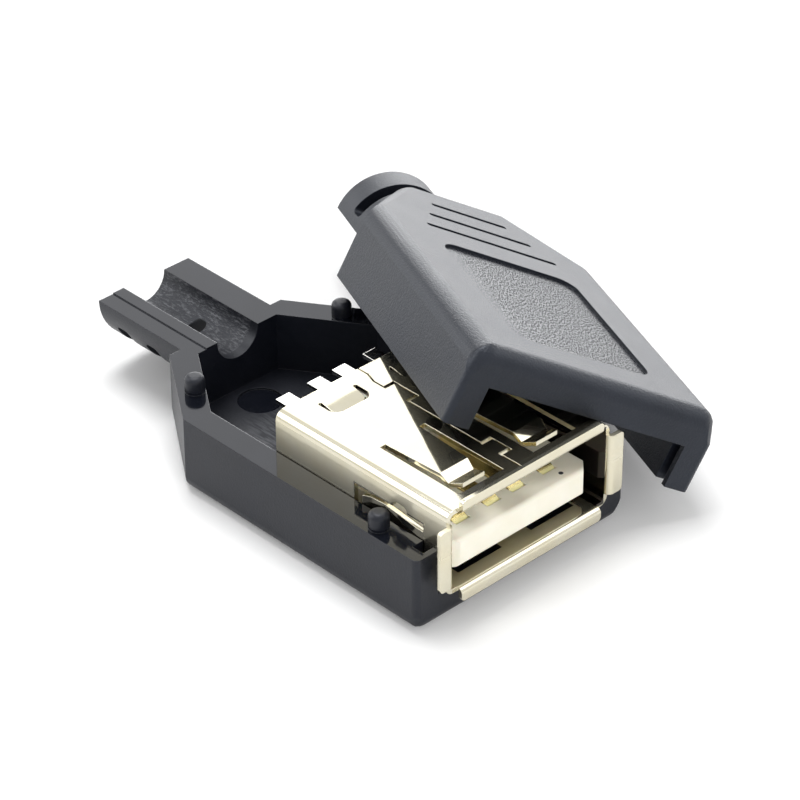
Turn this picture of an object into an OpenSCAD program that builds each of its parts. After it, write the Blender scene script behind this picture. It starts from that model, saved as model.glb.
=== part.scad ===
// USB socket for the end of a cable, with its housing open: a folded metal can with
// its insulator and four contacts sits in the lower shell, and the upper shell lies
// tilted over it, one rear corner on the table and its front cut-out on the can.
// Millimetres. Z is up, z = 0 is the table, and the mouth faces -Y.

/* [Shells] */
// Width across the straight part
shell_w = 16.9; // [16.4:0.1:18]
// Height of one shell, from its outer face to the parting plane
shell_h = 5.1; // [4.8:0.05:5.6]
// Length of the straight part
body_len = 19.65; // [18.5:0.05:22]
// Length of the tapered part
taper_len = 5.8; // [5:0.1:7]
// Width where the taper ends at the neck
taper_end_w = 9.0; // [8.4:0.1:9.6]
// Thickness of the flat outer wall
floor_t = 1.15; // [0.9:0.05:1.3]
// Thickness of the tapered walls
taper_wall = 1.7; // [1.4:0.05:1.8]
// Thickness of the wall between the wire chamber and the neck
rear_wall = 1.1; // [0.8:0.05:1.4]
// Round along the outer side edges
edge_r = 1.0; // [0.6:0.05:1.3]
// Round along the outer front edge
front_edge_r = 0.8; // [0.5:0.05:1.0]
// Round of the upright front corners
corner_r = 0.4; // [0.2:0.05:0.6]
// Round of the outer edges where the taper ends
taper_r = 1.4; // [1:0.1:2.2]

/* [Neck] */
// Diameter of the closed neck
neck_d = 7.3; // [7:0.1:8]
// Length of the neck behind the taper
neck_len = 7.7; // [7:0.1:9]
// Diameter of the cable channel
cable_d = 3.3; // [3:0.1:3.6]
// Width of the relief slots round the neck
slot_w = 1.15; // [0.9:0.05:1.3]
// Distance from the lower neck's end to its first slot
slot_end = 1.25; // [1:0.05:1.6]
// Distance from the upper neck's end to its first slot
slot_end_up = 2.1; // [1.8:0.05:2.4]
// Distance from the first slot to the second
slot_pitch = 2.7; // [2.4:0.05:2.9]
// Distance from the parting plane to the lower slots' inner face
slot_web = 1.4; // [1.2:0.05:1.5]
// Distance from the parting plane to the upper slots' inner face
slot_web_up = 0.75; // [0.6:0.05:1]
// Round of the slots' inner corners
slot_round = 0.35; // [0.2:0.05:0.4]
// Wall left round the cable channel in the first slot
slot_core = 0.4; // [0.3:0.05:0.6]
// Width of the raised strip beside the cable channel
strip_w = 0.85; // [0.6:0.05:1]
// Height of the raised strip
strip_h = 0.08; // [0.06:0.01:0.15]
// Clearance round the strip in the other shell
strip_gap = 0.04; // [0.03:0.01:0.08]

/* [Inside of the shells] */
// Thickness of the front wall
front_wall = 0.4; // [0.3:0.05:0.6]
// Width of the groove behind the front wall
groove_w = 0.85; // [0.6:0.05:1]
// Reach of the groove into the side walls
groove_reach = 0.8; // [0.5:0.05:0.9]
// Depth of the can's bottom below the parting plane
seat_depth = 3.0; // [2.8:0.05:3.2]
// Number of ribs that hold the can
rib_n = 4; // [3:1:5]
// Thickness of the ribs
rib_t = 0.8; // [0.6:0.05:1]
// Diameter of the round moulding mark in the wire chamber
mark_d = 2.8; // [2:0.1:3]
// Depth of the moulding mark
mark_depth = 0.12; // [0.08:0.01:0.2]
// Distance from the moulding mark's centre to the rear wall
mark_y = 1.9; // [1.7:0.05:2.2]

/* [Locating pins] */
// Diameter of the pins
pin_d = 1.25; // [1:0.05:1.3]
// Height of the pins above the parting plane
pin_h = 1.1; // [0.8:0.05:1.4]
// Round of the pins' ends
pin_round = 0.35; // [0.2:0.05:0.4]
// Distance of the front pins behind the front face
pin_front = 3.9; // [3:0.1:6]
// Distance of the rear pins along the tapered wall
pin_rear = 2.9; // [2:0.1:3.5]
// Distance of the rear pins from the tapered wall's outer face
pin_rear_in = 1.05; // [0.9:0.05:1.2]
// Wall round the rear pins' holes in the upper shell
pin_boss = 0.5; // [0.4:0.05:0.7]
// Clearance round a pin in its hole
pin_gap = 0.06; // [0.04:0.01:0.1]

/* [Outside of the shells] */
// Width of the textured panel on the upper shell
panel_w = 9.6; // [8:0.1:11]
// Length of the textured panel
panel_len = 13.25; // [11:0.05:14]
// Distance of the panel behind the front face
panel_front = 3.2; // [2.5:0.1:4]
// Round of the panel's corners
panel_r = 1.2; // [0.6:0.1:1.6]
// Depth of the panel
panel_depth = 0.2; // [0.1:0.05:0.3]
// Distance of the first grip groove ahead of the taper
grip_front = 0.65; // [0.4:0.05:1]
// Distance between the grip grooves
grip_pitch = 2.12; // [1.8:0.02:2.3]
// Length of the longest grip groove
grip_len = 9.4; // [8:0.1:10]
// How much shorter each next grip groove is
grip_step = 1.95; // [1.6:0.05:2.4]
// Width of the grip grooves
grip_w = 0.4; // [0.25:0.05:0.5]
// Depth of the grip grooves
grip_depth = 0.25; // [0.15:0.05:0.35]

/* [Can] */
// Outer width of the can
can_w = 13.1; // [12.9:0.05:13.3]
// Outer height of the can
can_h = 5.7; // [5.6:0.05:5.8]
// Length of the can from the lips to its rear edge
can_len = 14.4; // [13.8:0.1:15]
// Thickness of the sheet
sheet_t = 0.3; // [0.25:0.01:0.35]
// Outer radius of the can's long bends
can_bend = 0.6; // [0.5:0.05:0.8]
// Clearance between the can and the shells
can_gap = 0.05; // [0.03:0.01:0.1]
// Sideways play of the can, which lies against the left wall of its seat
can_play = 0.3; // [0.1:0.05:0.4]
// Distance of the lips ahead of the shells' front face
lip_stand = 0.95; // [0.8:0.05:1.2]
// Inside radius of the bend behind the lips
lip_bend_in = 0.1; // [0.06:0.01:0.2]
// How far the side lips stand out
lip_side_out = 0.8; // [0.6:0.05:0.9]
// Length of the side lips
lip_side_len = 4.1; // [3.6:0.1:4.3]
// How far the top and bottom lips stand out
lip_flat_out = 0.57; // [0.5:0.01:0.7]
// Length of the top and bottom lips
lip_flat_len = 11.3; // [10.8:0.1:11.6]
// Round of the lips' free corners
lip_corner = 0.25; // [0.1:0.05:0.35]

/* [Can springs] */
// Distance of the flat springs from the middle
spring_x = 2.93; // [2.8:0.01:3.1]
// Width of the cut-out round a flat spring
spring_cut_w = 3.5; // [3.2:0.05:3.7]
// Distance of the cut-outs behind the lips
spring_cut_y = 1.3; // [1.1:0.05:1.5]
// Length of the cut-outs
spring_cut_len = 6.35; // [6:0.05:6.6]
// Width of a flat spring at its root
spring_root_w = 2.65; // [2.3:0.05:2.8]
// Width of a flat spring at its bend
spring_tip_w = 2.2; // [1.7:0.05:2.4]
// Width of a flat spring at its free end
spring_end_w = 1.7; // [1.4:0.05:2]
// Length of a flat spring from its root to its bend
spring_flat = 4.15; // [3.8:0.05:4.3]
// Length of the part that bends into the can
spring_dive = 0.6; // [0.5:0.05:0.8]
// Length of the part that rises again at the end
spring_rise = 1.0; // [0.8:0.05:1.2]
// How far the top springs reach into the can
spring_drop = 0.45; // [0.3:0.05:0.7]
// How far the bottom springs reach into the can
spring_drop_low = 0.3; // [0.2:0.05:0.35]
// Distance of the side windows behind the lips
side_y = 2.2; // [2:0.05:2.4]
// Length of the side windows
side_len = 5.6; // [5.2:0.1:5.8]
// Height of the side windows
side_h = 2.5; // [2.3:0.05:2.8]
// Height of the notch in the side windows
notch_h = 3.3; // [3:0.05:3.5]
// Length of the notch
notch_len = 1.2; // [1:0.05:1.4]
// Distance of the notch from the window's front
notch_y = 1.3; // [1.1:0.05:1.6]
// Width of a side spring
side_spring_w = 1.45; // [1.2:0.05:1.6]
// Length of a side spring
side_spring_len = 4.95; // [4.6:0.05:5.2]
// Length of the flat part at a side spring's root
side_flat = 0.5; // [0.3:0.05:0.8]
// Distance of a side spring's lowest point from its root
side_low = 3.4; // [3:0.05:3.7]
// How far a side spring reaches into the can
side_drop = 0.3; // [0.2:0.05:0.35]
// Length of a side spring's hooked end
side_hook = 0.45; // [0.3:0.05:0.6]
// How far the hooked end starts below the can's side
side_hook_in = 0.22; // [0.15:0.01:0.28]

/* [Can seam and latches] */
// Distance of the seam from the middle
seam_x = 0.27; // [0.2:0.01:0.35]
// Gap between the two edges of the seam
seam_gap = 0.1; // [0.06:0.01:0.14]
// Gap at the front and rear of the seam's tabs
seam_end_gap = 0.24; // [0.16:0.01:0.3]
// Reach of the seam's tabs across the middle
seam_tab = 0.78; // [0.6:0.02:0.9]
// Distance of the front tab behind the lips
tab_1_y = 2.45; // [2:0.05:3]
// Length of the front tab
tab_1_len = 1.5; // [1.2:0.1:1.8]
// Distance of the rear tab behind the lips
tab_2_y = 10.0; // [9.5:0.1:10.3]
// Length of the rear tab
tab_2_len = 1.9; // [1.6:0.1:2.1]
// Distance of the seam's jog ahead of the can's rear edge
jog_y = 1.6; // [1.4:0.1:1.9]
// Length of the jog
jog_len = 0.8; // [0.5:0.1:1]
// Distance of the latches from the middle
latch_x = 2.75; // [2.6:0.05:2.9]
// Width of a latch
latch_w = 2.5; // [2.2:0.1:2.7]
// Length of a latch from its root
latch_len = 1.2; // [1:0.05:1.3]
// Distance of the latches' root ahead of the can's rear edge
latch_root = 1.2; // [1:0.05:1.4]
// Width of the slit round a latch
latch_slit = 0.25; // [0.2:0.05:0.3]
// Round of a latch's free corners
latch_r = 0.45; // [0.3:0.05:0.6]
// How far a latch is pressed in
latch_drop = 0.25; // [0.15:0.05:0.5]
// Clearance round a latch in the insulator
latch_gap = 0.1; // [0.05:0.01:0.15]

/* [Insulator] */
// Width of the tongue
tongue_w = 11.2; // [11:0.05:11.35]
// Thickness of the tongue
tongue_t = 1.84; // [1.75:0.01:1.92]
// Height of the tongue above the can's outer bottom
tongue_z = 1.05; // [1:0.01:1.15]
// Distance of the tongue's front behind the lips
tongue_y = 0.86; // [0.7:0.02:1]
// Cut of the tongue's front corners
tongue_cut = 0.65; // [0.4:0.05:0.8]
// Round of the tongue's front edges
tongue_round = 0.3; // [0.15:0.05:0.4]
// Distance of the block behind the lips
block_y = 9.6; // [9:0.1:10]
// Distance of the block's rear face ahead of the can's rear edge
block_back = 0.2; // [0.1:0.05:0.4]
// Clearance between the block and the can
block_gap = 0.05; // [0.03:0.01:0.08]

/* [Contacts] */
// Distance between the two outer contacts
outer_pitch = 7.0; // [6.9:0.05:7.1]
// Distance between the two inner contacts
inner_pitch = 2.0; // [1.95:0.05:2.1]
// Width of a contact
contact_w = 1.05; // [0.9:0.05:1.1]
// Thickness of a contact
contact_t = 0.25; // [0.2:0.01:0.3]
// Distance of the contacts' front end behind the lips
contact_y = 2.15; // [1.9:0.05:2.5]
// How far the contacts stand above the tongue
contact_proud = 0.12; // [0.06:0.01:0.15]
// Length of the contacts' bent front end
contact_tip = 0.45; // [0.3:0.05:0.6]
// Drop of the contacts' front end
contact_dip = 0.32; // [0.2:0.01:0.4]
// Distance of the rise behind the block's front face
rise_y = 0.5; // [0.3:0.05:0.8]
// Length of the rise
rise_len = 1.3; // [1.1:0.05:1.6]
// Height of the tails above the can's outer bottom
tail_z = 4.06; // [3.9:0.02:4.2]
// Length of the tails behind the can
tail_len = 2.8; // [2.4:0.1:3.2]
// Clearance beside and above a contact
contact_gap = 0.03; // [0.02:0.01:0.05]

/* [Upper shell laid over the can] */
// Turn about the upright axis
cover_yaw = -27.9; // [-30:0.1:-26]
// Tilt to the right
cover_tilt = 27.62; // [26:0.01:30]
// Distance of the front resting point behind the lips' bend
cover_rest = 0.5; // [0.3:0.01:0.8]
// Clearance where the upper shell rests on the can
rest_gap = 0.01; // [0.005:0.005:0.02]

/* [Hidden] */
$fn = 64;
eps = 0.02;
front_y = -body_len / 2;
taper_y = body_len / 2;
body_end_y = taper_y + taper_len;
neck_end_y = body_end_y + neck_len;
rear_in_y = body_end_y - rear_wall;
lip_y = front_y - lip_stand;
can_z = shell_h - seat_depth;
can_rise = can_h - seat_depth;
cut_h = can_rise + can_gap;
seat_half = can_w / 2 + can_gap + can_play / 2;
can_x = -can_play / 2;
cavity_h = shell_h - floor_t;
rib_y = front_y + front_wall + groove_w;
rib_pitch = (lip_y + can_len - rib_t - rib_y) / (rib_n - 1);
// The taper's direction and the chamber's corners on a line parallel to it
taper_dx = (shell_w - taper_end_w) / 2;
taper_l = sqrt(taper_dx * taper_dx + taper_len * taper_len);
taper_u = [-taper_dx / taper_l, taper_len / taper_l];
taper_n = [-taper_len / taper_l, -taper_dx / taper_l];
wall_x = shell_w / 2 + taper_wall * taper_n[0];
wall_y = taper_y + taper_wall * taper_n[1];
chamber_y = wall_y + (wall_x - seat_half) * taper_len / taper_dx;
rear_half = wall_x - (rear_in_y - wall_y) * taper_dx / taper_len;
pin_x = (shell_w / 2 + seat_half) / 2;
pin_rear_x = shell_w / 2 + taper_u[0] * pin_rear + taper_n[0] * pin_rear_in;
pin_rear_y = taper_y + taper_u[1] * pin_rear + taper_n[1] * pin_rear_in;
// The can, with its middle on the axis and y counted from the lips
can_top = can_h / 2;
can_side = can_w / 2;
lip_bend = lip_bend_in + sheet_t;
spring_root_y = spring_cut_y + spring_cut_len;
latch_y = can_len - latch_root;
// The insulator and the contacts, z counted from the can's outer bottom
tongue_top = tongue_z + tongue_t;
block_end = can_len - block_back;
contact_z = tongue_top + contact_proud;
tail_end = can_len + tail_len;
contact_line = [
    [contact_y, contact_z - contact_dip], [contact_y + contact_tip, contact_z],
    [block_y + rise_y, contact_z], [block_y + rise_y + rise_len, tail_z], [tail_end, tail_z]];
slot_line = concat([[contact_y - contact_gap, contact_z - contact_dip]], contact_line);
// Where the can's right top bend has its centre
bend_x = can_x + can_side - can_bend;
bend_z = can_z + can_h - can_bend;
// Directions of the laid upper shell at a given pitch: its own x, y and z as seen from the table
function axes_at(p) = [
    [cos(cover_yaw) * cos(cover_tilt), sin(cover_yaw) * cos(cover_tilt), -sin(cover_tilt)],
    [cos(cover_yaw) * sin(cover_tilt) * sin(p) - sin(cover_yaw) * cos(p),
        sin(cover_yaw) * sin(cover_tilt) * sin(p) + cos(cover_yaw) * cos(p), cos(cover_tilt) * sin(p)],
    [cos(cover_yaw) * sin(cover_tilt) * cos(p) + sin(cover_yaw) * sin(p),
        sin(cover_yaw) * sin(cover_tilt) * cos(p) - cos(cover_yaw) * sin(p), cos(cover_tilt) * cos(p)]];
// Its place with the rear right rim corner on the table and the cut-out's front edge on the can's bend
function place_at(a) = let(
    z = -(a[0][2] * shell_w / 2 + a[1][2] * taper_y),
    touch = [-a[0][2], 0, a[0][0]] / norm([a[0][2], a[0][0]]),
    edge = a[1] * front_y + a[2] * cut_h,
    x = (touch * [bend_x - edge[0], 0, bend_z - z - edge[2]] + can_bend + rest_gap) / touch[0],
    run = (bend_x + can_bend * touch[0] - x - edge[0]) / a[0][0])
    [x, lip_y + lip_bend + cover_rest - edge[1] - run * a[0][1], z];
// How far the inner edge of its left rim is above the can's rear top edge
function lift_at(p) = let(
    a = axes_at(p),
    up = [0, -a[1][2], a[1][1]] / norm([a[1][2], a[1][1]]))
    up * (place_at(a) - a[0] * seat_half - [0, lip_y + can_len, can_z + can_h]) - rest_gap;
// The pitch at which that rim comes to rest, found by halving the range
function settle(low, high, n) = let(mid = (low + high) / 2)
    n == 0 ? mid : lift_at(mid) > 0 ? settle(mid, high, n - 1) : settle(low, mid, n - 1);
cover_pitch = settle(-14, -1, 30);
cover_pos = place_at(axes_at(cover_pitch));

// A flat shape in x and z, drawn out along y
module along_y(y, length) {
    translate([0, y + length, 0]) rotate([90, 0, 0]) linear_extrude(length) children();
}

// A flat shape in y and z, drawn out along x
module along_x(x, length) {
    translate([x, 0, 0]) rotate([90, 0, 90]) linear_extrude(length) children();
}

// A rectangle with its middle at the origin and round corners
module round_rect(w, h, r) {
    square([w - 2 * r, h], center = true);
    square([w, h - 2 * r], center = true);
    for (sx = [-1, 1]) for (sy = [-1, 1])
        translate([sx * (w / 2 - r), sy * (h / 2 - r)]) circle(r);
}

// What a round of radius r removes from a square corner at the origin
module corner_cut(r) {
    difference() {
        translate([-eps, -eps]) square(r + eps);
        translate([r, r]) circle(r);
    }
}

// A bent strip from the line of its upper side
function strip(line, t, grow) = concat(
    [for (p = line) [p[0], p[1] + grow]],
    [for (i = [len(line) - 1 : -1 : 0]) [line[i][0], line[i][1] - t]]);

// Section of the taper, a little over the shell's height
module taper_section(w, r) {
    low = -shell_h - eps / 2;
    translate([-w / 2, low + r]) square([w, shell_h]);
    translate([r - w / 2, low]) square([w - 2 * r, shell_h]);
    for (s = [-1, 1]) translate([s * (w / 2 - r), low + r]) circle(r);
}

// Straight part of a shell with its rounded edges
module shell_straight() {
    difference() {
        translate([0, 0, -shell_h]) linear_extrude(shell_h) {
            translate([-shell_w / 2, front_y + corner_r]) square([shell_w, body_len - corner_r]);
            translate([corner_r - shell_w / 2, front_y]) square([shell_w - 2 * corner_r, body_len]);
            for (s = [-1, 1])
                translate([s * (shell_w / 2 - corner_r), front_y + corner_r]) circle(corner_r);
        }
        along_y(front_y - eps, body_len + 2 * eps) {
            translate([-shell_w / 2, -shell_h]) corner_cut(edge_r);
            translate([shell_w / 2, -shell_h]) mirror([1, 0]) corner_cut(edge_r);
        }
        along_x(-shell_w / 2 - eps, shell_w + 2 * eps)
            translate([front_y, -shell_h]) corner_cut(front_edge_r);
    }
}

// Tapered part of a shell, from the straight part's section to the rounder one at the neck
module shell_taper() {
    intersection() {
        hull() {
            along_y(taper_y - eps, eps) taper_section(shell_w, edge_r);
            along_y(body_end_y - eps, 2 * eps) taper_section(taper_end_w, taper_r);
        }
        translate([-shell_w, taper_y - 2 * eps, -shell_h])
            cube([2 * shell_w, taper_len + 2 * eps, shell_h]);
    }
}

// Half-round neck
module neck() {
    along_y(body_end_y - rear_wall, neck_len + rear_wall) intersection() {
        circle(d = neck_d);
        translate([-neck_d, -2 * neck_d]) square(2 * neck_d);
    }
}

// Hollow of a shell, with the ribs that hold the can left standing
module shell_hollow(seat) {
    difference() {
        translate([0, 0, -cavity_h]) linear_extrude(cavity_h + eps) polygon([
            [-seat_half, rib_y - eps], [seat_half, rib_y - eps],
            [seat_half, chamber_y], [rear_half, rear_in_y],
            [-rear_half, rear_in_y], [-seat_half, chamber_y]]);
        for (i = [0 : rib_n - 1]) translate([-shell_w / 2, rib_y + i * rib_pitch, -shell_h])
            cube([shell_w, rib_t, shell_h - seat]);
    }
    translate([-seat_half, front_y - eps, -seat])
        cube([2 * seat_half, front_wall + groove_w + 2 * eps, seat + eps]);
    translate([-seat_half - groove_reach, front_y + front_wall, -cavity_h])
        cube([2 * (seat_half + groove_reach), groove_w, cavity_h + eps]);
}

// Cable channel and relief slots of the neck, the first slot at the given distance from its end
module neck_cuts(from_end, web) {
    translate([0, rear_in_y - eps, 0]) rotate([-90, 0, 0])
        cylinder(d = cable_d, h = rear_wall + neck_len + 2 * eps);
    difference() {
        along_x(-neck_d, 2 * neck_d) for (i = [0, 1])
            translate([neck_end_y - from_end - slot_w / 2 - i * slot_pitch, -web - neck_d / 2])
                round_rect(slot_w, neck_d, slot_round);
        translate([0, neck_end_y - from_end - slot_w - eps, 0]) rotate([-90, 0, 0])
            cylinder(d = cable_d + 2 * slot_core, h = from_end + slot_w);
    }
}

// Strip beside the cable channel on the parting plane, from the wire chamber to the neck's end
module channel_strip(grow) {
    translate([-cable_d / 2 - strip_w - grow, rear_in_y - grow, -strip_h - grow])
        cube([strip_w + 2 * grow, rear_wall + neck_len + 2 * grow, 2 * (strip_h + grow)]);
}

// Grip grooves across the outer face
module grips() {
    for (i = [0, 1, 2]) translate([0, taper_y - grip_front + i * grip_pitch, -shell_h - eps])
        linear_extrude(grip_depth + eps)
            round_rect(grip_len - i * grip_step, grip_w, grip_w / 2 - eps);
}

// One shell, its parting plane at z = 0 and its outer face down
module shell(seat, from_end, web) {
    difference() {
        union() {
            shell_straight();
            shell_taper();
            neck();
        }
        shell_hollow(seat);
        neck_cuts(from_end, web);
        grips();
        translate([0, rear_in_y - mark_y, -cavity_h - mark_depth])
            cylinder(d = mark_d, h = mark_depth + eps);
    }
}

// Places for the two rear pins
module at_rear_pins() {
    for (s = [-1, 1]) translate([s * pin_rear_x, pin_rear_y, 0]) children();
}

// Places for the four pins
module at_pins() {
    for (s = [-1, 1]) translate([s * pin_x, front_y + pin_front, 0]) children();
    at_rear_pins() children();
}

// Round-ended pin, rooted in the shell
module pin() {
    rotate_extrude() {
        translate([0, -pin_h]) square([pin_d / 2, 2 * pin_h - pin_round]);
        square([pin_d / 2 - pin_round, pin_h]);
        translate([pin_d / 2 - pin_round, pin_h - pin_round]) intersection() {
            circle(pin_round);
            square(pin_round);
        }
    }
}

module lower_shell() {
    color([0.03, 0.03, 0.032]) translate([0, 0, shell_h]) union() {
        shell(seat_depth, slot_end, slot_web);
        channel_strip(0);
        at_pins() pin();
    }
}

module upper_shell() {
    color([0.05, 0.05, 0.052])
        translate(cover_pos) rotate([cover_pitch, cover_tilt, cover_yaw])
        mirror([0, 0, 1]) difference() {
            union() {
                shell(cut_h, slot_end_up, slot_web_up);
                at_rear_pins() translate([0, 0, -cavity_h - eps])
                    cylinder(r = pin_d / 2 + pin_gap + pin_boss, h = cavity_h + eps);
            }
            channel_strip(strip_gap);
            at_pins() translate([0, 0, -pin_h - pin_gap])
                cylinder(d = pin_d + 2 * pin_gap, h = pin_h + pin_gap + eps);
            translate([0, front_y + panel_front + panel_len / 2, -shell_h - eps])
                linear_extrude(panel_depth + eps) round_rect(panel_w, panel_len, panel_r);
        }
}

// A lip at the mouth, on the wall that lies at the given height above the axis
module lip(height, out, length) {
    inner = height - sheet_t;
    intersection() {
        along_x(-length / 2, length) {
            translate([0, inner + lip_bend]) square([sheet_t, height + out - inner - lip_bend]);
            intersection() {
                translate([lip_bend, inner + lip_bend]) difference() {
                    circle(lip_bend);
                    circle(lip_bend_in);
                }
                translate([0, inner]) square(lip_bend);
            }
            translate([lip_bend - eps, inner]) square([2 * eps, sheet_t]);
        }
        along_y(-lip_bend, 3 * lip_bend) {
            translate([-length / 2, inner - eps])
                square([length, height + out - lip_corner - inner + eps]);
            translate([lip_corner - length / 2, inner])
                square([length - 2 * lip_corner, height + out - inner]);
            for (s = [-1, 1])
                translate([s * (length / 2 - lip_corner), height + out - lip_corner]) circle(lip_corner);
        }
    }
}

// Cut-out round a flat spring, in the top wall
module spring_cut() {
    translate([-spring_cut_w / 2, spring_cut_y, can_top - 2 * sheet_t])
        cube([spring_cut_w, spring_cut_len, 3 * sheet_t]);
}

// Flat spring in the top wall
module spring(drop) {
    bend_y = spring_root_y - spring_flat;
    end_y = bend_y - spring_dive - spring_rise;
    line = [
        [end_y, can_top], [bend_y - spring_dive, can_top - drop],
        [bend_y, can_top], [spring_root_y + eps, can_top]];
    intersection() {
        along_x(-spring_cut_w / 2, spring_cut_w) polygon(strip(line, sheet_t, 0));
        translate([0, 0, -can_h]) linear_extrude(2 * can_h) polygon([
            [-spring_end_w / 2, end_y], [spring_end_w / 2, end_y], [spring_tip_w / 2, bend_y],
            [spring_root_w / 2, spring_root_y + 2 * eps], [-spring_root_w / 2, spring_root_y + 2 * eps],
            [-spring_tip_w / 2, bend_y]]);
    }
}

// Window round a side spring, in the wall turned to the top
module side_cut() {
    translate([0, side_y + side_len / 2, can_side - 2 * sheet_t]) linear_extrude(3 * sheet_t)
        square([side_h, side_len], center = true);
    translate([0, side_y + notch_y + notch_len / 2, can_side - 2 * sheet_t]) linear_extrude(3 * sheet_t)
        round_rect(notch_h, notch_len, (notch_h - side_h) / 2);
}

// Side spring, rooted at the window's front
module side_spring() {
    line = [
        [side_y - eps, can_side], [side_y + side_flat, can_side],
        [side_y + side_low, can_side - side_drop],
        [side_y + side_spring_len - side_hook, can_side - side_hook_in],
        [side_y + side_spring_len, can_side]];
    along_x(-side_spring_w / 2, side_spring_w) polygon(strip(line, sheet_t, 0));
}

// Straight run of the seam between two points, wider where it crosses the can
module seam_run(a, b) {
    d = b - a;
    gap = d[1] == 0 ? seam_end_gap : seam_gap;
    translate(a) rotate(atan2(d[1], d[0])) translate([-seam_gap / 2, -gap / 2])
        square([norm(d) + seam_gap, gap]);
}

// Seam in the top wall with its two tabs
module seam() {
    x = -seam_x;
    t = seam_tab - seam_x;
    path = [
        [x, lip_bend + sheet_t], [x, tab_1_y], [t, tab_1_y],
        [t, tab_1_y + tab_1_len], [x, tab_1_y + tab_1_len],
        [x, tab_2_y], [t, tab_2_y], [t, tab_2_y + tab_2_len], [x, tab_2_y + tab_2_len],
        [x, can_len - jog_y], [0, can_len - jog_y + jog_len], [0, can_len + sheet_t]];
    translate([0, 0, can_top - 2 * sheet_t]) linear_extrude(3 * sheet_t)
        for (i = [0 : len(path) - 2]) seam_run(path[i], path[i + 1]);
}

// Outline of a latch with its round front corners, grown by the given width
module latch_outline(grow) {
    front = latch_y - latch_len - grow;
    half = latch_w / 2 + grow;
    r = latch_r + grow;
    translate([-half, front + r]) square([2 * half, latch_y - front - r]);
    translate([r - half, front]) square([2 * (half - r), r + eps]);
    for (s = [-1, 1]) translate([s * (half - r), front + r]) circle(r);
}

// Slit round a latch with its round ends, in the top wall
module latch_cut() {
    translate([0, 0, can_top - 2 * sheet_t]) linear_extrude(3 * sheet_t) {
        latch_outline(latch_slit);
        for (s = [-1, 1])
            translate([s * (latch_w + latch_slit) / 2, latch_y - eps]) circle(d = latch_slit);
    }
}

// Latch pressed into the can at its front edge
module latch() {
    line = [
        [latch_y - latch_len, can_top - latch_drop], [latch_y, can_top],
        [latch_y + latch_slit, can_top]];
    intersection() {
        along_x(-latch_w / 2, latch_w) polygon(strip(line, sheet_t, 0));
        translate([0, 0, -can_h]) linear_extrude(2 * can_h) {
            latch_outline(0);
            translate([-latch_w / 2, latch_y - 2 * eps]) square([latch_w, latch_slit]);
        }
    }
}

module socket_can() {
    color([0.82, 0.81, 0.78]) translate([can_x, lip_y, can_z + can_top]) union() {
        difference() {
            along_y(lip_bend, can_len - lip_bend) difference() {
                round_rect(can_w, can_h, can_bend);
                round_rect(can_w - 2 * sheet_t, can_h - 2 * sheet_t, can_bend - sheet_t);
            }
            for (s = [-1, 1]) {
                translate([s * spring_x, 0, 0]) spring_cut();
                translate([s * spring_x, 0, 0]) mirror([0, 0, 1]) spring_cut();
                translate([s * latch_x, 0, 0]) latch_cut();
                rotate([0, s * 90, 0]) side_cut();
            }
            seam();
        }
        for (s = [-1, 1]) {
            translate([s * spring_x, 0, 0]) spring(spring_drop);
            translate([s * spring_x, 0, 0]) mirror([0, 0, 1]) spring(spring_drop_low);
            translate([s * latch_x, 0, 0]) latch();
            rotate([0, s * 90, 0]) side_spring();
            rotate([0, s * 90, 0]) lip(can_side, lip_side_out, lip_side_len);
            rotate([0, 90 - s * 90, 0]) lip(can_top, lip_flat_out, lip_flat_len);
        }
    }
}

// Tongue between the contacts and the plug
module tongue() {
    intersection() {
        along_x(-tongue_w / 2, tongue_w) {
            translate([tongue_y + tongue_round, tongue_z])
                square([block_y + eps - tongue_y - tongue_round, tongue_t]);
            translate([tongue_y, tongue_z + tongue_round])
                square([2 * tongue_round, tongue_t - 2 * tongue_round]);
            for (z = [tongue_z + tongue_round, tongue_top - tongue_round])
                translate([tongue_y + tongue_round, z]) circle(tongue_round);
        }
        linear_extrude(can_h) polygon([
            [tongue_cut - tongue_w / 2, tongue_y - eps], [tongue_w / 2 - tongue_cut, tongue_y - eps],
            [tongue_w / 2, tongue_y + tongue_cut], [tongue_w / 2, block_y + 2 * eps],
            [-tongue_w / 2, block_y + 2 * eps], [-tongue_w / 2, tongue_y + tongue_cut]]);
    }
}

// Block that fills the rear of the can and rests on its bottom
module block() {
    h = can_h - 2 * sheet_t - block_gap;
    difference() {
        translate([0, 0, sheet_t + h / 2]) along_y(block_y, block_end - block_y)
            round_rect(can_w - 2 * sheet_t - 2 * block_gap, h, can_bend);
        for (s = [-1, 1])
            translate([s * latch_x - latch_w / 2 - latch_gap, latch_y - latch_len - latch_gap,
                can_h - sheet_t - latch_drop - latch_gap])
                cube([latch_w + 2 * latch_gap, latch_len + 2 * latch_gap, can_h]);
    }
}

// Room for one contact, open above its bent front end
module contact_slot(x) {
    along_x(x - contact_w / 2 - contact_gap, contact_w + 2 * contact_gap) {
        polygon(strip(slot_line, contact_t, contact_gap));
        polygon(strip([for (i = [0 : 2]) slot_line[i]], contact_t, contact_dip + contact_gap));
    }
}

module insulator() {
    color([0.9, 0.88, 0.8]) translate([can_x, lip_y, can_z]) difference() {
        union() {
            tongue();
            block();
        }
        for (s = [-1, 1]) {
            contact_slot(s * outer_pitch / 2);
            contact_slot(s * inner_pitch / 2);
        }
    }
}

// Flat contact from the tongue to its tail
module contact(x) {
    color([0.83, 0.68, 0.36]) translate([can_x, lip_y, can_z])
        along_x(x - contact_w / 2, contact_w) polygon(strip(contact_line, contact_t, 0));
}

module contact_1() {
    contact(-outer_pitch / 2);
}

module contact_2() {
    contact(-inner_pitch / 2);
}

module contact_3() {
    contact(inner_pitch / 2);
}

module contact_4() {
    contact(outer_pitch / 2);
}

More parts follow.
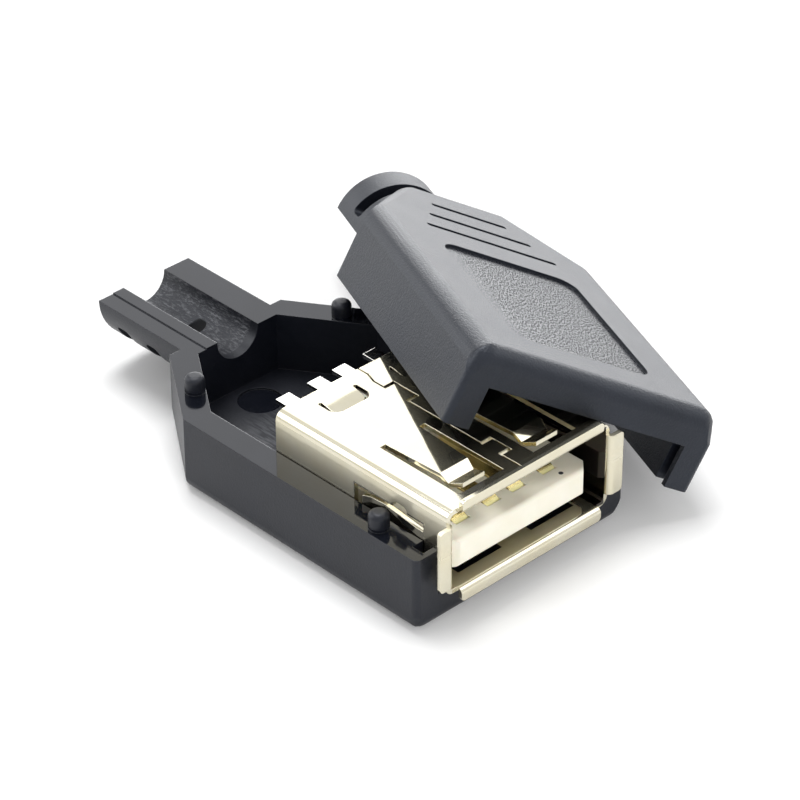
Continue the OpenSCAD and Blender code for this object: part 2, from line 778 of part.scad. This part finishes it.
lower_shell();
upper_shell();
socket_can();
insulator();
contact_1();
contact_2();
contact_3();
contact_4();
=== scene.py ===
import math
import bmesh
import bpy
from mathutils import Euler, Matrix, Vector


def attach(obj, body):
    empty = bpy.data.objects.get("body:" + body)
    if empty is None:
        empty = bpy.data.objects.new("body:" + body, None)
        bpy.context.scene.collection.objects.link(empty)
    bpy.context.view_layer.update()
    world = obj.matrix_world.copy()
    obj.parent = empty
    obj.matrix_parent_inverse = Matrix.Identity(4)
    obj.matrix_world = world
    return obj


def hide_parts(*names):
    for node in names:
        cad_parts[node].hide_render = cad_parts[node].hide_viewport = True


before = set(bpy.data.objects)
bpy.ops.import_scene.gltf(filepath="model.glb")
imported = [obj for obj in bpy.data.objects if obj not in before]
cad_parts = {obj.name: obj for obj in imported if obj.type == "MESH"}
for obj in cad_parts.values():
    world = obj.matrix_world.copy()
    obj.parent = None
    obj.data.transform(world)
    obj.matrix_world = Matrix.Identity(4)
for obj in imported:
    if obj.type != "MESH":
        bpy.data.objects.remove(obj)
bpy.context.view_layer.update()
mm = 0.001
print("frame loaded with", len(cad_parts), "solids")


class Wire:  # a socket that can be used in sums
    def __init__(self, graph, socket):
        self.graph = graph
        self.socket = socket

    def __add__(self, other):
        return self.graph.calc("ADD", self, other)

    def __sub__(self, other):
        return self.graph.calc("SUBTRACT", self, other)

    def __rsub__(self, other):
        return self.graph.calc("SUBTRACT", other, self)

    def __mul__(self, other):
        return self.graph.calc("MULTIPLY", self, other)

    def __truediv__(self, other):
        return self.graph.calc("DIVIDE", self, other)

    def __rtruediv__(self, other):
        return self.graph.calc("DIVIDE", other, self)

    def __lt__(self, other):
        return self.graph.calc("LESS_THAN", self, other)

    def __gt__(self, other):
        return self.graph.calc("GREATER_THAN", self, other)

    __radd__ = __add__
    __rmul__ = __mul__


class Graph:  # the nodes of one material or of the world
    def __init__(self, tree):
        self.tree = tree
        tree.nodes.clear()

    def add(self, kind, settings, sockets):
        node = self.tree.nodes.new("ShaderNode" + kind)
        for name, value in settings.items():
            if name == "stops":
                stops = node.color_ramp.elements
                while len(stops) < len(value):
                    stops.new(0.5)
                for stop, (place, shade) in zip(stops, value):
                    stop.position = place
                    stop.color = (shade, shade, shade, 1)
            else:
                setattr(node, name, value)
        for key, value in sockets.items():
            if isinstance(value, Wire):
                self.tree.links.new(value.socket, node.inputs[key])
            else:
                node.inputs[key].default_value = value
        return node

    def wire(self, kind, settings, sockets, out=0):
        return Wire(self, self.add(kind, settings, sockets).outputs[out])

    def calc(self, operation, a, b):
        return self.wire("Math", {"operation": operation}, {0: a, 1: b})

    def clip(self, value):
        return self.wire("Math", {"operation": "ADD", "use_clamp": True}, {0: value, 1: 0.0})

    def mix(self, factor, a, b):  # two colours
        settings = {"data_type": "RGBA", "clamp_factor": True}
        return self.wire("Mix", settings, {0: factor, 6: a, 7: b}, 2)

    def blend(self, factor, a, b):  # two numbers
        return a + (b - a) * factor

    def noise(self, place, scale, detail, rough=0.5):
        sockets = {"Vector": place, "Scale": scale, "Detail": detail, "Roughness": rough}
        return self.wire("TexNoise", {"noise_dimensions": "3D"}, sockets)

    def streaks(self, place, scales, detail, rough=0.5):  # noise drawn out along one axis
        return self.noise(self.stretch(place, scales), 1.0, detail, rough)

    def sway(self, noise, share):  # noise about its middle
        return (noise - 0.5) * share

    def dots(self, place):  # distance to the nearest of many scattered points
        settings = {"voronoi_dimensions": "2D", "feature": "F1"}
        return self.wire("TexVoronoi", settings, {"Vector": place, "Scale": 1.0}, "Distance")

    def ramp(self, value, stops):
        return self.wire("ValToRGB", {"stops": stops}, {0: value})

    def split(self, vector):
        node = self.add("SeparateXYZ", {}, {0: vector})
        return [Wire(self, s) for s in node.outputs]

    def place(self, middle=(0, 0, 0), turn=(0, 0, 0)):  # object coordinates in millimetres
        start = self.wire("TexCoord", {}, {}, "Object")
        sockets = {"Vector": start, "Location": middle, "Rotation": turn, "Scale": (mm, mm, mm)}
        return self.wire("Mapping", {"vector_type": "TEXTURE"}, sockets)

    def stretch(self, vector, scales):
        return self.wire("VectorMath", {"operation": "MULTIPLY"}, {0: vector, 1: scales})

    def inside(self, value, low, high):
        return (value > low) * (value < high)

    def facing(self):  # the normal without bumps or soft edges
        return self.wire("NewGeometry", {}, {}, "Normal")

    def softEdge(self, radius):  # rounded edge for the light to catch
        return self.wire("Bevel", {"samples": 8}, {"Radius": radius * mm})

    def edgeMask(self, radius, gain):  # 1 at sharp edges, 0 on flat faces
        sockets = {0: self.softEdge(radius), 1: self.facing()}
        same = self.wire("VectorMath", {"operation": "DOT_PRODUCT"}, sockets, "Value")
        return self.clip((1 - same) * gain)

    def bump(self, height, depth, normal):
        sockets = {"Strength": 1.0, "Distance": depth * mm, "Height": height, "Normal": normal}
        return self.wire("Bump", {}, sockets)

    def seen(self):  # 1 for rays from the camera, off gloss or through a clear piece
        path = self.add("LightPath", {}, {})
        names = ("Is Camera Ray", "Is Glossy Ray", "Is Transmission Ray")
        return self.clip(sum(Wire(self, path.outputs[k]) for k in names))

    def surface(self, shader):
        self.add("OutputMaterial", {}, {"Surface": shader})


def newGraph(name):
    material = bpy.data.materials.new(name)
    material.use_nodes = True
    return material, Graph(material.node_tree)


def rgb(red, green, blue):
    return (red, green, blue, 1.0)


# sizes that both shells share, in millimetres

shell = {
    "half": 8.45,
    "front": -9.825,
    "deep": 5.1,  # from the parting plane to the outer face
}
upperPose = {
    "middle": [v * mm for v in (8.3940, -0.3405, 4.7966)],
    "turn": [math.radians(v) for v in (-5.7959, 27.62, -27.9)],  # about x, y and z
}


# materials, with sizes in millimetres

def blackColour(g, s, cloud, grain):  # moulded black plastic, worn pale at its edges
    worn = g.edgeMask(s["edge"], s["edgeGain"]) * g.ramp(grain, s["wornRamp"])
    colour = g.mix(g.ramp(cloud, s["cloudRamp"]), s["black"], s["grey"])
    return g.mix(worn, colour, s["worn"])


def blackSurface(g, s, colour, rough, height):
    normal = g.bump(height, s["grainDepth"], g.softEdge(s["edge"]))
    g.surface(g.wire("BsdfPrincipled", {}, {
        "Base Color": colour, "Roughness": rough, "Normal": normal, "IOR": s["ior"],
        "Specular IOR Level": s["gloss"], "Specular Tint": s["sheen"]}))


lowerFinish = {
    "black": rgb(0.0045, 0.0054, 0.0090),
    "grey": rgb(0.0080, 0.0092, 0.0140),
    "worn": rgb(0.040, 0.041, 0.046),
    # pale colour of the dust in the cable channel and of the painted light on the chamber floor
    "dustAndPaintedLight": rgb(0.105, 0.108, 0.118),
    "sheen": rgb(0.93, 0.95, 1.0),
    "gloss": 0.35,
    "ior": 1.52,
    "wallRough": 0.42,
    "rimRough": 0.10,
    "cloudRough": 0.10,
    "markPolish": 0.25,
    "rimBand": (5.08, 5.27),
    "boreRadius": 1.72,  # just wider than the cable channel
    "boreEnds": (15.2, 23.25),
    "boreTop": 5.07,
    "chamberHalf": 6.3,
    "chamberEnds": (-9.0, 15.0),
    "floorBand": (1.1, 1.2),
    "markBand": (0.98, 1.06),  # round moulding mark in the floor
    # the chamber floor gets pale scratches, partly painted light, fading out towards the rear and
    # the right side
    "litFloorEnd": 12.0,
    "litFloorSide": 4.0,
    "litFloorFade": 3.0,
    "cloud": 0.35,
    "grain": 7.0,
    "streak": (5.5, 0.8, 5.5),
    "fleck": (9.0, 3.2, 9.0),
    "fleckShare": 0.6,  # against the streaks
    "scratch": (7.0, 0.9, 7.0),
    "cloudRamp": [(0.35, 0.0), (0.7, 1.0)],
    "wornRamp": [(0.35, 0.0), (0.65, 0.3)],
    "fleckRamp": [(0.49, 0.0), (0.66, 1.0)],
    "scratchRamp": [(0.40, 0.0), (0.60, 0.80)],
    "grainDepth": 0.012,
    "rimGrain": 0.10,  # these three against the depth of the grain
    "boreGrain": 3.0,
    "scratchGrain": 1.5,
    "edge": 0.05,
    "edgeGain": 1.6,
}


def makeLowerPlastic(s):
    material, g = newGraph("lowerPlastic")
    spot = g.place()
    x, y, z = g.split(spot)
    grain = g.noise(spot, s["grain"], detail=3.0, rough=0.6)
    cloud = g.noise(spot, s["cloud"], detail=3.0, rough=0.55)
    streak = g.streaks(spot, s["streak"], detail=3.0, rough=0.65)
    fleck = g.streaks(spot, s["fleck"], detail=3.0, rough=0.7)
    scratch = g.streaks(spot, s["scratch"], detail=2.0, rough=0.6)
    rim = g.inside(z, *s["rimBand"])
    drop = z - shell["deep"]
    bore = (x * x + drop * drop) < s["boreRadius"] * s["boreRadius"]
    channel = bore * g.inside(y, *s["boreEnds"]) * (z < s["boreTop"])
    within = g.inside(x, -s["chamberHalf"], s["chamberHalf"]) * g.inside(y, *s["chamberEnds"])
    mark = within * g.inside(z, *s["markBand"])
    # the chamber floor, with pale scratches that are partly painted light, fading out towards the
    # rear and the right side
    litChamberFloor = within * g.inside(z, *s["floorBand"])
    litChamberFloor = litChamberFloor * g.clip((s["litFloorEnd"] - y) / s["litFloorFade"])
    litChamberFloor = litChamberFloor * g.clip((s["litFloorSide"] - x) / s["litFloorFade"])
    flecks = g.blend(s["fleckShare"], streak, fleck)
    dustAndLitFloor = channel * g.ramp(flecks, s["fleckRamp"]) + litChamberFloor * g.ramp(scratch, s["scratchRamp"])
    colour = g.mix(g.clip(dustAndLitFloor), blackColour(g, s, cloud, grain), s["dustAndPaintedLight"])
    rough = g.blend(rim, s["wallRough"], s["rimRough"])
    rough = rough + g.sway(cloud, s["cloudRough"]) - mark * s["markPolish"]
    height = g.blend(rim, grain, 0.5 + g.sway(grain, s["rimGrain"]))
    height = height + channel * (g.sway(streak, s["boreGrain"]) + g.sway(fleck, s["boreGrain"]))
    height = height + litChamberFloor * g.sway(scratch, s["scratchGrain"])
    blackSurface(g, s, colour, rough, height)
    return material


upperFinish = {
    "black": rgb(0.0055, 0.0066, 0.0105),
    "grey": rgb(0.0095, 0.0110, 0.0165),
    "worn": rgb(0.040, 0.041, 0.046),
    # painted shade: near black in the panel's pits
    "shadedPit": rgb(0.002, 0.002, 0.003),
    "sheen": rgb(0.84, 0.90, 1.0),
    "gloss": 0.39,
    "ior": 1.52,
    "wallRough": 0.40,
    "rimRough": 0.16,
    "topRough": 0.36,
    "panelRough": 0.23,
    "pitRough": 0.55,
    "cloudRough": 0.10,
    "rimTop": 0.02,
    "topFrom": 4.2,
    "topBlend": 0.6,
    "panelHalf": 4.80,
    "panelFront": -8.6,
    "panelBand": (4.87, 4.93),
    "fade": 1.6,  # the pits grow shallow towards the near long side
    "cloud": 0.3,
    "grain": 8.0,
    "panelGrain": (9.6, 4.6, 9.6),
    "cloudRamp": [(0.35, 0.0), (0.7, 1.0)],
    "wornRamp": [(0.40, 0.0), (0.70, 0.5)],
    "pitRamp": [(0.26, 1.0), (0.42, 0.0)],
    "grainDepth": 0.030,
    "panelDepth": 0.004,
    "rimGrain": 0.10,
    "edge": 0.06,
    "edgeGain": 1.2,
}


def makeUpperPlastic(s):
    material, g = newGraph("upperPlastic")
    spot = g.place(upperPose["middle"], upperPose["turn"])
    x, y, z = g.split(spot)
    grain = g.noise(spot, s["grain"], detail=3.0, rough=0.6)
    cloud = g.noise(spot, s["cloud"], detail=3.0, rough=0.55)
    rim = z < s["rimTop"]
    top = g.clip((z - s["topFrom"]) / s["topBlend"])
    panel = g.inside(z, *s["panelBand"]) * g.inside(x, -s["panelHalf"], s["panelHalf"])
    panel = panel * (y > s["panelFront"])
    deepness = g.clip((x + s["panelHalf"]) / s["fade"])
    # the panel's pits, painted dark as shade, and made rougher and lower
    shadedPit = g.ramp(g.dots(g.stretch(spot, s["panelGrain"])), s["pitRamp"]) * deepness
    colour = g.mix(panel * shadedPit, blackColour(g, s, cloud, grain), s["shadedPit"])
    rough = g.blend(top, s["wallRough"], s["topRough"])
    rough = g.blend(panel * deepness, rough, s["panelRough"])
    rough = g.blend(rim, rough, s["rimRough"]) + g.sway(cloud, s["cloudRough"])
    rough = rough + panel * shadedPit * s["pitRough"]
    height = g.blend(panel, grain, (1 - shadedPit) * (s["panelDepth"] / s["grainDepth"]))
    height = g.blend(rim, height, 0.5 + g.sway(grain, s["rimGrain"]))
    blackSurface(g, s, colour, g.clip(rough), height)
    return material


canFinish = {
    "nickel": rgb(0.68, 0.645, 0.52),
    "warm": rgb(0.66, 0.615, 0.47),
    # painted shade on the inner face of the far side and on the latch slits' cut faces
    "inside": rgb(0.07, 0.062, 0.056),
    "cutEdge": rgb(0.68, 0.64, 0.52),
    "brightRough": 0.08,
    "dullRough": 0.46,
    "rollingRough": 0.05,
    "edgeRough": 0.12,
    "topDull": 0.06,  # share of dull plating on the top, then low and high on the sides
    "lowDull": 0.24,
    "highDull": 0.80,
    "sideFrom": 5.2,
    "sideRise": 2.0,
    "sideTop": 7.25,
    "windowY": (-8.6, -2.9),  # where the side spring is
    "windowZ": (3.4, 6.3),
    "innerX": (5.4, 6.11),  # inner face of the far side, painted dark as shade
    "innerZ": (2.2, 7.6),
    "innerFrom": -10.4,
    "slitX": (-4.6, 4.4),  # where the latches are
    "slitY": (0.85, 2.5),
    "slitAbove": 7.0,
    "upright": (-0.5, 0.5),  # how far a cut face may lean
    "cloud": 0.45,
    "wave": 0.30,
    "rolling": (18.0, 0.8, 18.0),
    "cloudRamp": [(0.4, 0.0), (0.65, 1.0)],
    "waveDepth": 0.02,
    "rollingShare": 0.02,
    "edge": 0.05,
    "edgeGain": 2.0,
    "edgeShare": 0.6,
}


def makeCanMetal(s):
    material, g = newGraph("canMetal")
    spot = g.place()
    x, y, z = g.split(spot)
    cloud = g.noise(spot, s["cloud"], detail=3.0)
    wave = g.noise(spot, s["wave"], detail=1.0)
    rolling = g.streaks(spot, s["rolling"], detail=3.0, rough=0.6)
    edge = g.edgeMask(s["edge"], s["edgeGain"])
    window = g.inside(y, *s["windowY"]) * g.inside(z, *s["windowZ"])
    # the inner face of the far side, painted dark as shade
    shadedInner = g.inside(x, *s["innerX"]) * g.inside(z, *s["innerZ"]) * (y > s["innerFrom"])
    # the upright cut faces at the latches, painted dark as the shade in the slits
    slitShade = g.inside(x, *s["slitX"]) * g.inside(y, *s["slitY"]) * (z > s["slitAbove"])
    slitShade = slitShade * g.inside(g.split(g.facing())[2], *s["upright"])
    colour = g.mix(g.ramp(cloud, s["cloudRamp"]), s["nickel"], s["warm"])
    colour = g.mix(edge * s["edgeShare"], colour, s["cutEdge"])
    # paints the shade colour on the inner face and on the slits' cut faces
    colour = g.mix(g.clip(shadedInner + slitShade), colour, s["inside"])
    rough = s["brightRough"] + g.sway(rolling, s["rollingRough"]) + edge * s["edgeRough"]
    height = g.sway(rolling, s["rollingShare"]) + wave
    normal = g.bump(height, s["waveDepth"], g.softEdge(s["edge"]))
    bright = g.wire("BsdfPrincipled", {}, {
        "Base Color": colour, "Metallic": 1.0, "Roughness": g.clip(rough), "Normal": normal})
    dull = g.wire("BsdfPrincipled", {}, {
        "Base Color": colour, "Metallic": 1.0, "Roughness": s["dullRough"], "Normal": normal})
    side = (z < s["sideTop"]) * (1 - window) * (1 - shadedInner)
    lift = g.clip((z - s["sideFrom"]) / s["sideRise"])
    share = g.blend(side, s["topDull"], g.blend(lift, s["lowDull"], s["highDull"]))
    g.surface(g.wire("MixShader", {}, {0: share, 1: bright, 2: dull}))
    return material


insulatorFinish = {
    "cream": rgb(0.85, 0.815, 0.685),
    "pale": rgb(0.88, 0.85, 0.74),
    # painted shade: a dark dot for a small hole in the tongue's top
    "shadedPit": rgb(0.03, 0.028, 0.03),
    "pitPlace": (3.64, -9.245),
    "pitSize": 0.15,
    "pitAbove": 4.5,  # on the tongue's top alone
    "rough": 0.40,
    "grainRough": 0.12,
    "ior": 1.5,
    "depthWeight": 0.08,  # light that sinks in
    "depthScale": 0.6,
    "cloud": 0.5,
    "grain": 12.0,
    "cloudRamp": [(0.35, 0.0), (0.65, 1.0)],
    "grainDepth": 0.004,
    "edge": 0.08,
}


def makeInsulatorPlastic(s):
    material, g = newGraph("insulatorPlastic")
    spot = g.place()
    x, y, z = g.split(spot)
    cloud = g.noise(spot, s["cloud"], detail=3.0)
    grain = g.noise(spot, s["grain"], detail=2.0)
    # a round spot on the tongue's top, painted dark as the shade of a hole
    across = x - s["pitPlace"][0]
    along = y - s["pitPlace"][1]
    shadedPit = (across * across + along * along) < s["pitSize"] * s["pitSize"]
    shadedPit = shadedPit * (z > s["pitAbove"])
    colour = g.mix(g.ramp(cloud, s["cloudRamp"]), s["cream"], s["pale"])
    colour = g.mix(shadedPit, colour, s["shadedPit"])
    rough = s["rough"] + g.sway(grain, s["grainRough"])
    normal = g.bump(grain, s["grainDepth"], g.softEdge(s["edge"]))
    g.surface(g.wire("BsdfPrincipled", {}, {
        "Base Color": colour, "Roughness": rough, "Normal": normal, "IOR": s["ior"],
        "Subsurface Weight": s["depthWeight"], "Subsurface Scale": s["depthScale"] * mm}))
    return material


contactFinish = {
    "gold": rgb(0.88, 0.74, 0.36),
    "tip": rgb(1.0, 0.96, 0.50),
    "tin": rgb(0.82, 0.81, 0.78),
    "goldEnd": -1.6,  # gold ahead of this line, tin behind it
    "goldFade": 0.6,
    "goldRagged": 1.0,
    "tipEnd": -8.2,  # worn dull ahead of this line
    "tipFade": 0.3,
    "tipWear": 0.95,
    "rough": 0.16,
    "tipRough": 0.45,
    "rollingRough": 0.10,
    "cloud": 1.2,
    "rolling": (22.0, 1.2, 22.0),
    "rollingDepth": 0.002,
    "edge": 0.05,
}


def makeContactMetal(s):
    material, g = newGraph("contactMetal")
    spot = g.place()
    y = g.split(spot)[1]
    cloud = g.noise(spot, s["cloud"], detail=3.0)
    rolling = g.streaks(spot, s["rolling"], detail=2.0)
    plated = g.clip((s["goldEnd"] - y) / s["goldFade"] + g.sway(cloud, s["goldRagged"]))
    tip = g.clip((s["tipEnd"] - y) / s["tipFade"])
    colour = g.mix(tip, g.mix(plated, s["tin"], s["gold"]), s["tip"])
    metal = 1.0 - tip * s["tipWear"]
    rough = g.blend(tip, s["rough"], s["tipRough"]) + g.sway(rolling, s["rollingRough"])
    normal = g.bump(rolling, s["rollingDepth"], g.softEdge(s["edge"]))
    g.surface(g.wire("BsdfPrincipled", {}, {
        "Base Color": colour, "Metallic": metal, "Roughness": rough, "Normal": normal}))
    return material


# pieces

smoothing = {
    "join": 0.0005 * mm,
    "touch": 0.0001 * mm,
    "least": 0.003 * mm,  # a cut shallower than this is left out
    "flat": math.radians(0.4),  # faces nearer than this to one plane become one face
    "sharp": math.radians(32),
    "weight": 80,
    "ballRises": (20, 40, 60, 75),  # directions of the cuts at a corner, in degrees
    "ballSwings": (12, 32, 52, 72),
}
lowerRounding = {
    "barRises": (),  # its long edges are round already
    "ball": 0.86,
    "pose": Matrix.Translation((0, 0, shell["deep"] * mm)) @ Matrix.Diagonal((1, 1, -1, 1)),
}
upperRounding = {
    "barRises": (5, 15, 25, 35, 45, 55, 65, 75, 85),
    "bar": 1.45,  # along the sides
    "bow": 1.15,  # along the front
    "ball": 1.25,  # at the front corners
    "pose": Matrix.LocRotScale(
        Vector(upperPose["middle"]), Euler(upperPose["turn"], "XYZ"), None),
}


def newObject(name, data):
    thing = bpy.data.objects.new(name, data)
    bpy.context.scene.collection.objects.link(thing)
    return thing


def outward(rise, swing):
    flat = math.cos(math.radians(rise))
    swing = math.radians(swing)
    return Vector((flat * math.cos(swing), flat * math.sin(swing), math.sin(math.radians(rise))))


def planeOff(shape, pose, middle, out, radius):  # one flat cut that touches a ball or a round bar
    point = pose @ ((Vector(middle) + out * radius) * mm)
    facing = pose.to_3x3() @ out
    if max((v.co - point).dot(facing) for v in shape.verts) < smoothing["least"]:
        return
    cut = bmesh.ops.bisect_plane(
        shape, geom=shape.verts[:] + shape.edges[:] + shape.faces[:], dist=smoothing["touch"],
        plane_co=point, plane_no=facing, clear_outer=True)
    loop = [e for e in cut["geom_cut"] if isinstance(e, bmesh.types.BMEdge)]
    if loop:
        bmesh.ops.edgeloop_fill(shape, edges=loop)


def roundOff(shape, s):
    half, front, deep = shell["half"], shell["front"], shell["deep"]
    for rise in s["barRises"]:
        bar, bow = s["bar"], s["bow"]
        planeOff(shape, s["pose"], (bar - half, 0, deep - bar), outward(rise, 180), bar)
        planeOff(shape, s["pose"], (half - bar, 0, deep - bar), outward(rise, 0), bar)
        planeOff(shape, s["pose"], (0, front + bow, deep - bow), outward(rise, -90), bow)
    ball = s["ball"]
    left = (ball - half, front + ball, deep - ball)
    right = (half - ball, front + ball, deep - ball)
    for rise in smoothing["ballRises"]:
        for swing in smoothing["ballSwings"]:
            planeOff(shape, s["pose"], left, outward(rise, 180 + swing), ball)
            planeOff(shape, s["pose"], right, outward(rise, -swing), ball)


def smoothCopy(node, material, rounding=None):
    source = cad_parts[node]
    shape = bmesh.new()
    shape.from_mesh(source.data)
    bmesh.ops.remove_doubles(shape, verts=shape.verts, dist=smoothing["join"])
    if rounding:
        roundOff(shape, rounding)
        bmesh.ops.remove_doubles(shape, verts=shape.verts, dist=smoothing["least"])
        bmesh.ops.dissolve_degenerate(shape, dist=smoothing["least"], edges=shape.edges)
    bmesh.ops.dissolve_limit(
        shape, angle_limit=smoothing["flat"], use_dissolve_boundaries=False,
        verts=shape.verts, edges=shape.edges, delimit={"NORMAL"})
    shape.normal_update()
    for face in shape.faces:
        face.smooth = True
    for edge in shape.edges:
        edge.smooth = edge.is_manifold and edge.calc_face_angle(math.pi) < smoothing["sharp"]
    mesh = bpy.data.meshes.new(node + ".skin")
    shape.to_mesh(mesh)
    shape.free()
    mesh.materials.append(material)
    piece = newObject(node + ".skin", mesh)
    even = piece.modifiers.new("even", "WEIGHTED_NORMAL")
    even.keep_sharp = True
    even.mode = "FACE_AREA"
    even.weight = smoothing["weight"]
    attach(piece, "root")
    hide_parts(node)


smoothCopy("lower_shell", makeLowerPlastic(lowerFinish), lowerRounding)
smoothCopy("upper_shell", makeUpperPlastic(upperFinish), upperRounding)
print("shells dressed")
smoothCopy("socket_can", makeCanMetal(canFinish))
smoothCopy("insulator", makeInsulatorPlastic(insulatorFinish))
contactMetal = makeContactMetal(contactFinish)
for number in (1, 2, 3, 4):
    smoothCopy("contact_" + str(number), contactMetal)
print("socket dressed")


# floor

floorLook = {"half": 0.6, "drop": 0.02 * mm, "white": rgb(0.93, 0.93, 0.93), "lift": 0.07}


def makeFloor(s):
    material, g = newGraph("floorPaper")
    paper = g.wire("BsdfDiffuse", {}, {"Color": s["white"]})
    glow = g.wire("Emission", {}, {"Strength": g.seen() * s["lift"]})
    g.surface(g.wire("AddShader", {}, {0: paper, 1: glow}))
    shape = bmesh.new()
    bmesh.ops.create_grid(shape, x_segments=1, y_segments=1, size=s["half"])
    bmesh.ops.translate(shape, verts=shape.verts, vec=(0, 0, -s["drop"]))
    mesh = bpy.data.meshes.new("floor")
    shape.to_mesh(mesh)
    shape.free()
    mesh.materials.append(material)
    newObject("floor", mesh)


makeFloor(floorLook)


# light, with places and sizes in metres

worldLook = {"white": rgb(1, 1, 1), "ambient": 0.58, "seen": 1.0}


def makeWorld(s):
    world = bpy.data.worlds.new("studio")
    world.use_nodes = True
    bpy.context.scene.world = world
    g = Graph(world.node_tree)
    strength = g.blend(g.seen(), s["ambient"], s["seen"])
    white = g.wire("Background", {}, {"Color": s["white"], "Strength": strength})
    g.add("OutputWorld", {}, {"Surface": white})


makeWorld(worldLook)

panelWatts = 4  # for a square metre that looks as bright as a white of 1
lamps = {
    "lowBack": {
        "from": (0.42, 0.26, 0.085), "size": (0.56, 0.20), "level": 3.8,
        "diffuse": False, "glossy": True},
    "highBack": {
        "from": (0.295, 0.305, 0.272), "size": (0.34, 0.21), "level": 0.85,
        "diffuse": False, "glossy": True},
    "leftBack": {
        "from": (-0.28, 0.30, 0.28), "size": (0.28, 0.30), "level": 2.0,
        "diffuse": False, "glossy": True},
    "farBack": {
        "from": (-0.10, 0.48, 0.12), "size": (0.50, 0.22), "level": 1.2,
        "diffuse": False, "glossy": True},
    "key": {
        "from": (-0.22, -0.42, 0.20), "size": (0.30, 0.26), "level": 3.6,
        "diffuse": True, "glossy": False},
    "topPanel": {
        "from": (0.05, 0.12, 0.46), "size": (0.26, 0.26), "level": 5.6,
        "diffuse": True, "glossy": True},
    "frontRight": {
        "from": (0.336, -0.213, 0.29), "size": (0.24, 0.34), "level": 1.3,
        "diffuse": False, "glossy": True},
}


def makeLamp(name, s):
    data = bpy.data.lights.new(name, "AREA")
    data.shape = "RECTANGLE"
    data.size, data.size_y = s["size"]
    data.energy = s["level"] * panelWatts * data.size * data.size_y
    lamp = newObject(name, data)
    lamp.location = s["from"]
    lamp.rotation_euler = Vector(s["from"]).to_track_quat("Z", "Y").to_euler()
    lamp.visible_diffuse = s["diffuse"]
    lamp.visible_glossy = s["glossy"]


for name, s in lamps.items():
    makeLamp(name, s)
print("floor and lamps set")


# camera

view = {
    "place": (-114.635, -119.244, 118.140),  # millimetres
    # directions of the camera's own axes
    "right": (0.72101, -0.69292, -0.00145),
    "up": (0.38668, 0.40063, 0.83065),
    "back": (-0.57499, -0.59947, 0.55680),
    "lens": 154.64,
    "sensor": 36,
    "clip": (0.005, 5),  # metres
}


def makeCamera(s):
    data = bpy.data.cameras.new("camera")
    data.sensor_width = s["sensor"]
    data.lens = s["lens"]
    data.clip_start, data.clip_end = s["clip"]
    camera = newObject("camera", data)
    turn = Matrix((s["right"], s["up"], s["back"])).transposed().to_4x4()
    camera.matrix_world = Matrix.Translation([v * mm for v in s["place"]]) @ turn
    bpy.context.scene.camera = camera


makeCamera(view)
bpy.context.scene.view_settings.view_transform = "Standard"
print("camera set")
